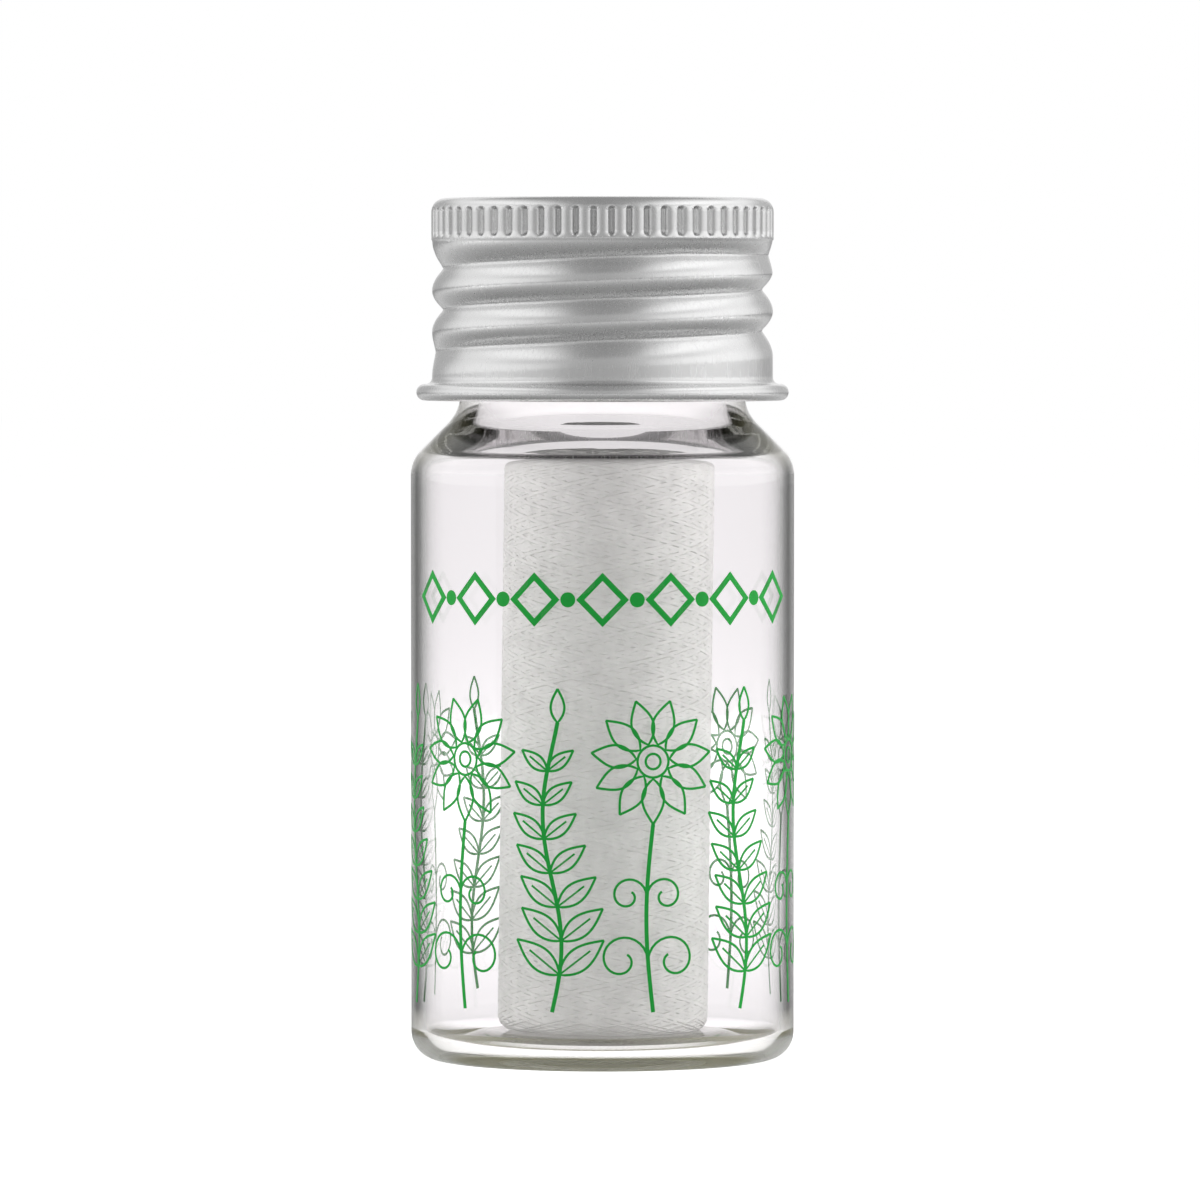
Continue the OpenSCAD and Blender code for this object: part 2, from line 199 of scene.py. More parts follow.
def turned(
    name: str, radii: np.ndarray, heights: np.ndarray, degrees: np.ndarray, ends: Ends = Ends.POLES,
) -> Object:
    """Make a turned shape whose radius may change round the axis.

    Args:
        name: The piece's name.
        radii: Radius of each outline point at each angle, as rows of the outline.
        heights: Height of each point, in the same layout.
        degrees: The angles, in degrees from +X.
        ends: How the outline ends. With poles, the first and last rows are single points.

    Returns:
        The object, with its faces turned outwards where the outline runs up the outside.
    """
    rows, count = radii.shape
    angles = np.radians(degrees)
    points = np.stack([radii * np.cos(angles), radii * np.sin(angles), heights], axis=-1)
    here = np.arange(count)
    after = (here + 1) % count

    def band(low: int, high: int) -> list[list[int]]:
        """Faces between two full rows, given the numbers of their first vertices."""
        return np.stack([low + here, low + after, high + after, high + here], axis=1).tolist()

    faces: list[list[int]] = []
    if ends is Ends.LOOP:
        for i in range(rows):
            faces += band(i * count, (i + 1) % rows * count)
        return mesh_object(name, points.reshape(-1, 3), faces)
    body = points[1:-1].reshape(-1, 3)
    for i in range(rows - 3):
        faces += band(i * count, (i + 1) * count)
    first, last = len(body), len(body) + 1
    top = (rows - 3) * count
    faces += [[first, b, a] for a, b in zip(here.tolist(), after.tolist())]
    faces += [[last, top + a, top + b] for a, b in zip(here.tolist(), after.tolist())]
    poles = [[0, 0, heights[0, 0]], [0, 0, heights[-1, 0]]]
    return mesh_object(name, np.concatenate([body, poles]), faces)


def spread(outline: Sequence[Point], count: int) -> tuple[np.ndarray, np.ndarray]:
    """Repeat an outline at each of count angles, as rows of radii and rows of heights."""
    table = np.array(outline)
    return np.repeat(table[:, :1], count, axis=1), np.repeat(table[:, 1:], count, axis=1)


class Finish:
    """A finish of a surface, made of shader nodes."""

    def surface(self, add: Adder) -> Node:
        """Make the shader of the surface, with the call that adds a node to the material."""
        raise NotImplementedError

    def depth(self, add: Adder) -> dict[str, Node]:
        """Make what the light meets inside, by the output's name: nothing in a solid finish."""
        return {}

    def build(self, name: str) -> Material:
        """Make the material under its name."""
        material = bpy.data.materials.new(name)
        material.use_nodes = True
        material.node_tree.nodes.clear()
        add = partial(add_node, material.node_tree)
        add("OutputMaterial", {"Surface": self.surface(add), **self.depth(add)})
        return material


@dataclass(frozen=True)
class TubeGlass(Finish):
    """Borosilicate tube glass, drawn and flame-worked: clear, with painted dark shade at its limbs and a
    faint olive depth.
    """

    ior: float = 1.5
    colour: str = "#FCFAFC"
    through_colour: str = "#F7F7F7"
    depth_colour: str = "#BEBEA6"
    depth_per_mm: float = 0.045
    painted_limb_shade_colour: str = "#2B2D2A"
    limb_roughness: float = 0.25
    painted_olive_shade_colour: str = "#8F8C6E"
    inner_mirrorings: float = 2.5
    # How much of the painted limb shade shows, from face on to edge on
    painted_limb_shade_stops: tuple[Point, ...] = (
        (0.44, 0.0), (0.5, 0.07), (0.54, 0.13), (0.58, 0.24), (0.63, 0.42), (0.69, 0.75), (0.76, 0.95),
        (0.82, 0.72), (0.9, 0.4),
    )

    def surface(self, add: Adder) -> Node:
        """Make the glass, with painted shade darkening it towards the limb on the outside."""
        clear = add("BsdfPrincipled", {
            "Base Color": linear(self.colour), "Roughness": 0.0, "IOR": self.ior, "Transmission Weight": 1.0,
        })
        # Painted shade: a dark shader is mixed in as the surface turns edge on. It stands in for the dark
        # surroundings that the wall would gather there, so the limb is nearly black. Where the glass was
        # worked in the flame and is thicker, this painted shade is olive.
        outside = add("Attribute", attribute_name=PAINTED_SHADE_MARK).outputs["Fac"]
        painted_shade_tint = add("Mix", {
            "Factor": outside, "A": linear(self.painted_olive_shade_colour), "B": linear(self.painted_limb_shade_colour),
        }, data_type="RGBA")
        painted_limb_shade = add("BsdfPrincipled", {"Base Color": painted_shade_tint, "Roughness": self.limb_roughness, "IOR": self.ior})
        facing = add("LayerWeight", {"Blend": 0.5}).outputs["Facing"]
        # A mark under 0 is the floor, which takes only the olive painted shade, not the dark one
        strength = add("Math", {0: outside}, operation="ABSOLUTE")
        share = add("Math", {
            0: add("ValToRGB", {"Fac": facing}, stops=self.painted_limb_shade_stops), 1: strength,
        }, operation="MULTIPLY", use_clamp=True)
        glass = add("MixShader", {0: share, 1: clear, 2: painted_limb_shade})
        # Lamps shine through the clear wall onto the bobbin, as through any thin glass
        path = add("LightPath").outputs
        soft = add("Math", {0: path["Is Shadow Ray"], 1: path["Is Diffuse Ray"]}, operation="MAXIMUM")
        # Light that is caught in the thick heel and shoulder comes out in the end
        caught = add("Math", {0: path["Glossy Depth"], 1: self.inner_mirrorings}, operation="GREATER_THAN")
        let_through = add("Math", {0: soft, 1: caught}, operation="MAXIMUM")
        return add("MixShader", {
            0: let_through, 1: glass, 2: add("BsdfTransparent", {"Color": linear(self.through_colour)}),
        })

    def depth(self, add: Adder) -> dict[str, Node]:
        """Make the faint colour that thick glass gives to the light."""
        return {"Volume": add("VolumeAbsorption", {
            "Color": linear(self.depth_colour), "Density": self.depth_per_mm / MM,
        })}


@dataclass(frozen=True)
class RolledAluminium(Finish):
    """Aluminium sheet, rolled, drawn and clear lacquered: satin, with the fine grain of the rolls."""

    colour: str = "#DEDEDE"
    # Smoothest and roughest, as the grain varies
    roughness: Point = (0.19, 0.3)
    # The real grain is about 0.05 mm wide. It is drawn three times as wide, so that it shows in the picture.
    grain_w: float = 0.16
    grain_l: float = 3.0
    grain_depth: float = 0.0014
    speckle_w: float = 0.35
    speckle_share: float = 0.35
    # How upright a normal is on the flat top
    top_level: float = 0.9

    def surface(self, add: Adder) -> Node:
        """Make the sheet's finish, with its grain upright on the wall and straight across the top."""
        place = add("TexCoord").outputs["Object"]
        fine, long = 1 / (self.grain_w * MM), 1 / (self.grain_l * MM)
        wall, crown = (
            add("TexNoise", {
                "Vector": add("Mapping", {"Vector": place, "Scale": scale}), "Scale": 1.0, "Detail": 3.0,
            })
            for scale in ((fine, fine, long), (fine, long, fine))
        )
        normal = add("SeparateXYZ", {0: add("NewGeometry").outputs["Normal"]}).outputs
        level = add("Math", {0: normal["Z"]}, operation="ABSOLUTE")
        on_top = add("Math", {0: level, 1: self.top_level}, operation="GREATER_THAN")
        grain = add("Mix", {"Factor": on_top, "A": wall, "B": crown})
        specks = add("TexNoise", {
            "Vector": place, "Scale": 1 / (self.speckle_w * MM), "Detail": 4.0, "Roughness": 0.6,
        })
        height = add("Math", {0: specks, 1: self.speckle_share, 2: grain}, operation="MULTIPLY_ADD")
        bump = add("Bump", {"Height": height, "Strength": 1.0, "Distance": self.grain_depth * MM})
        rough = add("MapRange", {
            "Value": grain, "From Min": 0.3, "From Max": 0.7,
            "To Min": self.roughness[0], "To Max": self.roughness[1],
        })
        return add("BsdfPrincipled", {
            "Base Color": linear(self.colour), "Metallic": 1.0, "Roughness": rough, "Normal": bump,
        })


@dataclass(frozen=True)
class StampedSteel(Finish):
    """Stainless sheet, cold rolled and stamped: grey and brighter than it is smooth, brushed one way."""

    colour: str = "#BDBEBF"
    # Smoothest and roughest, as the brush lines vary
    roughness: Point = (0.18, 0.36)
    brush_w: float = 0.08
    brush_l: float = 4.0
    brush_depth: float = 0.003

    def surface(self, add: Adder) -> Node:
        """Make the steel, with its brush lines along X."""
        fine, long = 1 / (self.brush_w * MM), 1 / (self.brush_l * MM)
        place = add("TexCoord").outputs["Object"]
        along = add("Mapping", {"Vector": place, "Scale": (long, fine, fine)})
        lines = add("TexNoise", {"Vector": along, "Scale": 1.0, "Detail": 3.0})
        bump = add("Bump", {"Height": lines, "Strength": 1.0, "Distance": self.brush_depth * MM})
        rough = add("MapRange", {"Value": lines, "To Min": self.roughness[0], "To Max": self.roughness[1]})
        return add("BsdfPrincipled", {
            "Base Color": linear(self.colour), "Metallic": 1.0, "Roughness": rough, "Normal": bump,
        })


@dataclass(frozen=True)
class ClosedCellFoam(Finish):
    """Polyethylene foam, extruded and die cut: matt white, with the dimples of its cut cells."""

    colour: str = "#EDECE8"
    shade: str = "#DEDCD6"
    roughness: float = 0.85
    cell_w: float = 0.28
    cell_depth: float = 0.05

    def surface(self, add: Adder) -> Node:
        """Make the foam, whose cells are darker at their rims."""
        place = add("TexCoord").outputs["Object"]
        cells = add("TexVoronoi", {"Vector": place, "Scale": 1 / (self.cell_w * MM)})
        bump = add("Bump", {"Height": cells, "Strength": 0.8, "Distance": self.cell_depth * MM})
        colour = add("Mix", {
            "Factor": cells, "A": linear(self.colour), "B": linear(self.shade),
        }, data_type="RGBA")
        return add("BsdfPrincipled", {"Base Color": colour, "Roughness": self.roughness, "Normal": bump})


@dataclass(frozen=True)
class WaxedSilk(Finish):
    """Silk, plied flat and waxed: white, with a soft sheen and the fine lines of its filaments."""

    colour: str = "#F1F0EE"
    shade: str = "#E2E1DF"
    roughness: float = 0.5
    sheen: float = 0.2
    sheen_roughness: float = 0.4
    specular_level: float = 0.35
    # A filament is about 0.012 mm wide. Bundles of them are drawn, so that they show in the picture.
    bundle_w: float = 0.07
    bundle_depth: float = 0.012
    streak_w: float = 1.6

    def surface(self, add: Adder) -> Node:
        """Make the silk, with faint streaks of shade where the strand is more or less waxed."""
        place = add("TexCoord").outputs["Object"]
        bundles, streaks = (
            add("TexNoise", {"Vector": place, "Scale": 1 / (wide * MM), "Detail": detail, "Roughness": rough})
            for wide, detail, rough in ((self.bundle_w, 2.0, 0.6), (self.streak_w, 3.0, 0.65))
        )
        bump = add("Bump", {"Height": bundles, "Strength": 1.0, "Distance": self.bundle_depth * MM})
        share = add("ValToRGB", {"Fac": streaks}, stops=((0.35, 0.0), (0.7, 1.0)))
        colour = add("Mix", {
            "Factor": share, "A": linear(self.colour), "B": linear(self.shade),
        }, data_type="RGBA")
        return add("BsdfPrincipled", {
            "Base Color": colour, "Roughness": self.roughness, "Specular IOR Level": self.specular_level,
            "Sheen Weight": self.sheen, "Sheen Roughness": self.sheen_roughness, "Normal": bump,
        })


@dataclass(frozen=True)
class FiredInk(Finish):
    """Ceramic ink, screen printed and fired on glass: leaf green, half gloss, faintly mottled by the mesh."""

    colour: str = "#119A37"
    shade: str = "#0C8A2E"
    roughness: float = 0.4
    specular_level: float = 0.25
    mottle_w: float = 0.25
    film_depth: float = 0.006

    def surface(self, add: Adder) -> Node:
        """Make the ink, mottled at about the pitch of the printing screen."""
        place = add("TexCoord").outputs["Object"]
        mottle = add("TexNoise", {"Vector": place, "Scale": 1 / (self.mottle_w * MM), "Detail": 2.0})
        colour = add("Mix", {
            "Factor": mottle, "A": linear(self.colour), "B": linear(self.shade),
        }, data_type="RGBA")
        bump = add("Bump", {"Height": mottle, "Strength": 0.6, "Distance": self.film_depth * MM})
        return add("BsdfPrincipled", {
            "Base Color": colour, "Roughness": self.roughness, "Specular IOR Level": self.specular_level,
            "Normal": bump,
        })


@dataclass(frozen=True)
class PaintedBoard(Finish):
    """Board, rolled with matt white paint: white where it is seen, with the object's shadow kept, painted
    shade round the object where it is mirrored, and a painted glow from below.
    """

    colour: str = "#F0F0F0"
    # The painted shade that the metal mirrors round the object, how far it reaches in millimetres, and how
    # strong it is at shares of that distance
    painted_near_shade_colour: str = "#9A9A9A"
    painted_shade_reach: float = 260.0
    painted_shade_levels: tuple[Point, ...] = ((0.0, 0.0), (0.058, 0.0), (0.1, 1.0), (1.0, 0.0))
    painted_bounce_glow: float = 0.12
    fill: float = 0.36

    def surface(self, add: Adder) -> Node:
        """Make the paint, the light that makes it up to white, the painted shade round the object and the
        painted glow.
        """
        path = add("LightPath").outputs
        # Painted shade: only to mirrored rays, the floor is darker in a ring round the object than under it
        # or far from it, standing in for the object's own shade there
        away = add("VectorMath", {0: add("TexCoord").outputs["Object"]}, operation="LENGTH")
        share = add("Math", {0: away, 1: self.painted_shade_reach * MM}, operation="DIVIDE")
        painted_shade_share = add("Math", {
            0: add("ValToRGB", {"Fac": share}, stops=self.painted_shade_levels), 1: path["Is Glossy Ray"],
        }, operation="MULTIPLY")
        tone = add("Mix", {
            "Factor": painted_shade_share, "A": linear(self.colour), "B": linear(self.painted_near_shade_colour),
        }, data_type="RGBA")
        paint = add("BsdfDiffuse", {"Color": tone})
        seen = add("Math", {0: path["Is Camera Ray"], 1: path["Is Transmission Ray"]}, operation="MAXIMUM")
        # The fill alone lights the floor to its colour times the fill. The light makes that up to white.
        rest = add("Math", {0: seen, 1: 1 - linear(self.colour)[0] * self.fill}, operation="MULTIPLY")
        # Painted glow: the floor gives off light to diffuse rays, standing in for the light that a white
        # table would bounce up onto the object from below
        light = add("Math", {0: path["Is Diffuse Ray"], 1: self.painted_bounce_glow, 2: rest}, operation="MULTIPLY_ADD")
        return add("AddShader", {0: paint, 1: add("Emission", {"Color": linear(WHITE), "Strength": light})})


@dataclass(frozen=True)
class Helix:
    """The right-handed screw line that the glass thread and the cap's groove follow."""

    pitch: float = 3.0
    height_at_x: float = 53.258
    fade_angle: float = 45.0

    def height(self, angles: np.ndarray) -> np.ndarray:
        """Height of the line at angles that count on from turn to turn, in degrees."""
        return self.height_at_x + self.pitch * angles / 360

    def strength(self, angles: np.ndarray, start: float, end: float) -> np.ndarray:
        """How far a thread between two angles has faded in, from 0 to 1."""
        return ease((angles - start) / self.fade_angle) * ease((end - angles) / self.fade_angle)

    def turns(self, start: float, end: float) -> range:
        """Whole turns to add to angles from 0 to 360 to reach every part between two angles."""
        return range(math.floor(start / 360), math.floor(end / 360) + 1)


@dataclass
class GlassVial:
    """The vial: a body with a thick floor, a sloping shoulder and a threaded neck. Millimetres."""

    body_d: float = 28.0
    wall: float = 1.0
    floor_h: float = 2.0
    heel_r: float = 2.0
    inner_heel_r: float = 1.2
    # The floor is level under the bobbin and sinks towards the heel, as glass that was closed in the flame
    level_r: float = 8.3
    floor_sink: float = 0.75
    sink_steps: int = 10
    stand_ring_w: float = 0.9
    punt_h: float = 0.4
    punt_slope_w: float = 1.2
    punt_ease_w: float = 0.2
    punt_ease_h: float = 0.02
    body_h: float = 42.75
    shoulder_r: float = 2.5
    shoulder_slope: float = 45.0
    ceiling_slope: float = 38.0
    neck_fillet_r: float = 3.0
    mouth_fillet_r: float = 3.5
    neck_r: float = 10.4
    mouth_r: float = 9.0
    neck_h: float = 12.63
    rim_outer_r: float = 0.7
    rim_inner_r: float = 0.6
    rim_steps: int = 6
    thread_h: float = 1.45
    thread_w: float = 2.1
    thread_lift: float = 1.3
    thread_start: float = -110.4
    thread_end: float = 519.6
    thread_fullness: float = 0.8
    # How strongly the painted limb shade shows on the shoulder, the heel and the floor, as a share of the
    # wall's
    shoulder_share: float = 0.4
    heel_share: float = 0.05
    floor_shade_share: float = 2.0
    facets: int = 256
    # The longest steps of the outline: under the base, round its ring, on the neck and elsewhere
    base_step: float = 1.5
    ring_step: float = 0.4
    neck_step: float = 0.12
    step: float = 1.0
    helix: Helix = field(default_factory=Helix)

    def outside(self) -> list[Point]:
        """The outline from the middle of the underside to the rim."""
        body_r = self.body_d / 2
        ring_r = body_r - self.heel_r - self.stand_ring_w
        punt_r = ring_r - self.punt_slope_w
        shoulder_turn = 90 - self.shoulder_slope
        foot = arc((body_r - self.shoulder_r, self.body_h), self.shoulder_r, 0, shoulder_turn)
        curve_r = self.neck_r + self.neck_fillet_r
        head_r = curve_r - self.neck_fillet_r * math.cos(math.radians(shoulder_turn))
        head_z = foot[-1][1] + (foot[-1][0] - head_r) * math.tan(math.radians(self.shoulder_slope))
        self.neck_z = head_z + self.neck_fillet_r * math.sin(math.radians(shoulder_turn))
        self.rim_z = self.neck_z + self.neck_h
        rim_mid = (self.neck_r - self.rim_outer_r, self.rim_z - self.rim_outer_r)
        return [
            *refined([(0, self.punt_h), (punt_r, self.punt_h)], self.base_step),
            *refined([
                (punt_r + self.punt_ease_w, self.punt_h - self.punt_ease_h),
                (ring_r - self.punt_ease_w / 2, self.punt_ease_h), (ring_r, 0),
            ], self.ring_step),
            *refined(arc((body_r - self.heel_r, self.heel_r), self.heel_r, -90, 0) + foot, self.step),
            *arc((curve_r, self.neck_z), self.neck_fillet_r, 180 + shoulder_turn, 180)[:-1],
            *refined([(self.neck_r, self.neck_z), (self.neck_r, rim_mid[1])], self.neck_step),
            *arc(rim_mid, self.rim_outer_r, 0, 90, self.rim_steps)[1:],
        ]

    def inside(self) -> list[Point]:
        """The outline from the rim to the middle of the floor, once outside() has set the rim's height."""
        heel_mid_r = self.body_d / 2 - self.wall - self.inner_heel_r
        turn = 90 - self.ceiling_slope
        corner = arc((self.body_d / 2 - self.shoulder_r, self.body_h), self.shoulder_r - self.wall, turn, 0)
        mouth_mid_r = self.mouth_r + self.mouth_fillet_r
        head_r = mouth_mid_r - self.mouth_fillet_r * math.cos(math.radians(turn))
        head_z = corner[0][1] + (corner[0][0] - head_r) * math.tan(math.radians(self.ceiling_slope))
        mouth_z = head_z + self.mouth_fillet_r * math.sin(math.radians(turn))
        rim_mid = (self.mouth_r + self.rim_inner_r, self.rim_z - self.rim_inner_r)
        heel_mid = (heel_mid_r, self.floor_h - self.floor_sink + self.inner_heel_r)
        dish = []
        for i in range(1, self.sink_steps + 1):
            s = i / self.sink_steps
            sunk_z = self.floor_h - self.floor_sink * (1 - float(ease(s)))
            dish.append((heel_mid_r + (self.level_r - heel_mid_r) * s, sunk_z))
        return refined([
            *arc(rim_mid, self.rim_inner_r, 90, 180, self.rim_steps),
            *arc((mouth_mid_r, mouth_z), self.mouth_fillet_r, 180, 180 + turn),
            *corner, *arc(heel_mid, self.inner_heel_r, 0, -90), *dish, (0, self.floor_h),
        ], self.step)

    def thread(self, heights: np.ndarray) -> np.ndarray:
        """How far the thread stands out of the neck at each height and angle."""
        out = np.zeros(heights.shape)
        for turn in self.helix.turns(self.thread_start, self.thread_end):
            angles = even_angles(self.facets) + 360 * turn
            away = heights - self.helix.height(angles) - self.thread_lift
            share = self.helix.strength(angles, self.thread_start, self.thread_end)
            ridge = np.clip(1 - (2 * away / self.thread_w) ** 2, 0, 1) ** self.thread_fullness
            out = np.maximum(out, self.thread_h * share * ridge)
        return out

    def marks(self, outside_z: np.ndarray, inside_z: np.ndarray) -> np.ndarray:
        """Say how strongly the painted limb shade shows at each height of the outline.

        Args:
            outside_z: Heights of the outside, from the base up.
            inside_z: Heights of the inside, from the rim down.

        Returns:
            The shares, one for each height. Those of the floor are under 0.
        """
        on_wall = ease((outside_z - self.heel_r) / self.heel_r)
        on_wall = on_wall * ease((self.body_h + self.shoulder_r - outside_z) / self.shoulder_r)
        on_neck = ease((outside_z - self.neck_z) / self.neck_fillet_r)
        worked = np.where(outside_z < self.body_h / 2, self.heel_share, self.shoulder_share)
        off_floor = ease((inside_z - self.floor_h + self.floor_sink) / self.inner_heel_r)
        floor_shade = -self.floor_shade_share * (1 - off_floor)
        return np.concatenate([worked + (1 - worked) * np.maximum(on_wall, on_neck), floor_shade])

    def build(self, glass: Material) -> Object:
        """Make the vial in place of its CAD solid, marked with the share of painted limb shade for the glass.
        """
        outside = self.outside()
        outline = outside + self.inside()
        radii, heights = spread(outline, self.facets)
        on_neck = np.array([r == self.neck_r and z > self.neck_z for r, z in outline])
        radii[on_neck] += self.thread(heights[on_neck])
        vial = turned("vial_glass", radii, heights, even_angles(self.facets))
        row_z = heights[:, 0]
        marks = np.zeros(len(vial.data.vertices))
        rows = self.marks(row_z[1 : len(outside)], row_z[len(outside) : -1])
        marks[:-2] = np.repeat(rows, self.facets)
        vial.data.attributes.new(PAINTED_SHADE_MARK, "FLOAT", "POINT").data.foreach_set("value", marks)
        return finished(vial, glass, "clear_glass", "vial", "glass_vial")


@dataclass
class ScrewCap:
    """The cap: a drawn shell with a knurled band, a rolled groove and a rolled bead. Millimetres."""

    top_z: float = 62.898
    height: float = 14.75
    sheet: float = 0.25
    wall_r: float = 12.45
    knurl_r: float = 12.5
    knurl_h: float = 3.0
    knurl_ease_h: float = 0.1
    edge_r: float = 1.0
    edge_steps: int = 14
    slots: int = 60
    slot_top: float = 0.78
    slot_h: float = 2.15
    slot_floor_w: float = 0.05
    slot_wall_w: float = 0.25
    slot_wall_steps: int = 5
    slot_depth: float = 0.55
    inner_slot_depth: float = 0.3
    rib_share: float = 0.32
    slot_run_in: float = 0.12
    slot_run_out: float = 0.45
    groove_depth: float = 0.8
    groove_start: float = -199.2
    groove_end: float = 742.0
    level_drop: float = 1.15
    # Lengths of the flanks above and below each valley, and of the outermost two, which run out to the wall
    flank_above: float = 1.4
    flank_below: float = 1.6
    longest_above: float = 2.1
    longest_below: float = 1.9
    flank_power: float = 1.9
    # How far the valley is rounded, as a share of its flanks
    valley_share: float = 0.06
    bead_r: float = 0.6
    bead_out_r: float = 13.6
    bead_steps: int = 24
    foot_fillet_r: float = 0.5
    foot_steps: int = 10
    # Rings of the flat top, by how far they lie inside its edge
    crown_insets: tuple[float, ...] = (2.5, 6.0, 9.0)
    # The longest steps of the outline, on the wall and on the band
    wall_step: float = 0.12
    band_step: float = 0.09
    helix: Helix = field(default_factory=Helix)

    def pitch(self) -> float:
        """The distance from slot to slot."""
        return 2 * math.pi * self.knurl_r / self.slots

    def angles(self) -> np.ndarray:
        """Angles of the facets in degrees, closer together at the walls of the slots."""
        foot = self.slot_floor_w / 2
        steps = self.slot_wall_steps
        walls = [foot + self.slot_wall_w * i / steps for i in range(steps + 1)]
        half = np.array([*walls, (walls[-1] + self.pitch() / 2) / 2]) / self.pitch()
        shares = np.concatenate([-half[::-1], [0.0], half, [0.5]]) + 0.5
        return ((np.arange(self.slots)[:, None] + shares[None, :]) * 360 / self.slots).ravel()

    def fillet(self) -> tuple[Point, float]:
        """Place the fillet that touches both the bead and the wall.

        Returns:
            Its centre, and the direction in degrees in which the bead's centre sees it.
        """
        bead_mid_r = self.bead_out_r - self.bead_r
        mid_r = self.wall_r + self.foot_fillet_r
        rise = math.sqrt((self.bead_r + self.foot_fillet_r) ** 2 - (mid_r - bead_mid_r) ** 2)
        lean = math.degrees(math.atan2(rise, mid_r - bead_mid_r))
        return (mid_r, self.top_z - self.height + self.bead_r + rise), lean

    def wall(self) -> list[Point]:
        """The outside of the wall before it is rolled, from the bead to the edge of the top."""
        knurl_z = self.top_z - self.knurl_h
        # A hollow fillet leads from the bead up into the wall
        fillet_mid, lean = self.fillet()
        foot = arc(fillet_mid, self.foot_fillet_r, lean - 180, -180, self.foot_steps)
        upright = refined([foot[-1], (self.wall_r, knurl_z - self.knurl_ease_h)], self.wall_step)[1:]
        band = refined([(self.knurl_r, knurl_z), (self.knurl_r, self.top_z - self.edge_r)], self.band_step)
        return foot + upright + band

    def edge(self, inset: float) -> list[Point]:
        """The rounded edge of the top, on the outside or inset by the sheet."""
        middle = (self.knurl_r - self.edge_r, self.top_z - self.edge_r)
        return arc(middle, self.edge_r - inset, 0, 90, self.edge_steps)[1:]

    def slot_share(self, heights: np.ndarray) -> np.ndarray:
        """How far each slot is pressed in, from 0 to 1: square at its upper end, running out below."""
        across = np.abs((self.angles() * self.slots / 360) % 1 - 0.5) * self.pitch()
        below = self.top_z - self.slot_top - heights
        run = ease((self.slot_h - below) / self.slot_run_out) * ease(below / self.slot_run_in + 0.5)
        slot = 1 - ease((across - self.slot_floor_w / 2) / self.slot_wall_w)
        # The ribs between the slots are rounded
        rib = (1 + np.cos(2 * math.pi * across / self.pitch())) / 2
        return run * (self.rib_share * rib + (1 - self.rib_share) * slot)

    def groove(self, heights: np.ndarray) -> np.ndarray:
        """How far the wall is pressed inwards by the groove, at each height and angle."""
        knurl_z = self.top_z - self.knurl_h
        round_r = self.valley_share
        dip = np.zeros(heights.shape)
        for turn in self.helix.turns(self.groove_start, self.groove_end):
            there = self.angles() + 360 * turn
            # The groove ends level, under the band
            line = np.minimum(self.helix.height(there), knurl_z - self.level_drop)
            to_band = np.clip(knurl_z - line, self.flank_above, self.longest_above)
            above = np.where(there > self.groove_end - 360, to_band, self.flank_above)
            below = np.where(there < self.groove_start + 360, self.longest_below, self.flank_below)
            away = heights - line
            s = np.clip(np.where(away > 0, away / above, -away / below), 0, 1)
            # The sheet bends sharply in the valley and goes round the crest in one broad curve
            soft = (np.sqrt(s**2 + round_r**2) - round_r) / (math.hypot(1, round_r) - round_r)
            share = self.helix.strength(there, self.groove_start, self.groove_end)
            dip = np.maximum(dip, self.groove_depth * share * (1 - soft) ** self.flank_power)
        return np.where(heights < knurl_z, dip, 0)

    def build(self, finish: Material) -> Object:
        """Make the cap in place of its CAD solid, both faces of the sheet pressed alike."""
        wall = self.wall()
        bead_mid = (self.bead_out_r - self.bead_r, self.top_z - self.height + self.bead_r)
        bead = arc(bead_mid, self.bead_r, 180, 360 + self.fillet()[1], self.bead_steps)[:-1]
        inner = [(min(r - self.sheet, bead_mid[0] - self.bead_r), z) for r, z in reversed(wall)]
        crown = [(self.knurl_r - self.edge_r - inset, self.top_z) for inset in self.crown_insets]
        under = [(r, z - self.sheet) for r, z in reversed(crown)]
        below = [(0, self.top_z - self.sheet), *under, *reversed(self.edge(self.sheet)), *inner]
        outline = [*below, *bead, *wall, *self.edge(0.0), *crown, (0, self.top_z)]
        radii, heights = spread(outline, len(self.angles()))
        row = np.arange(len(outline))
        # The liner behind the band keeps the inside of each slot shallow
        slot_depths = np.where(row < len(below), self.inner_slot_depth, self.slot_depth)
        pressed = self.groove(heights) + slot_depths[:, None] * self.slot_share(heights)
        is_bead = (row >= len(below)) & (row < len(below) + len(bead))
        flat = (radii < self.knurl_r - self.edge_r) | is_bead[:, None]
        cap = turned("cap_sheet", radii - np.where(flat, 0, pressed), heights, self.angles())
        return finished(cap, finish, "rolled_aluminium", "cap", "screw_cap")


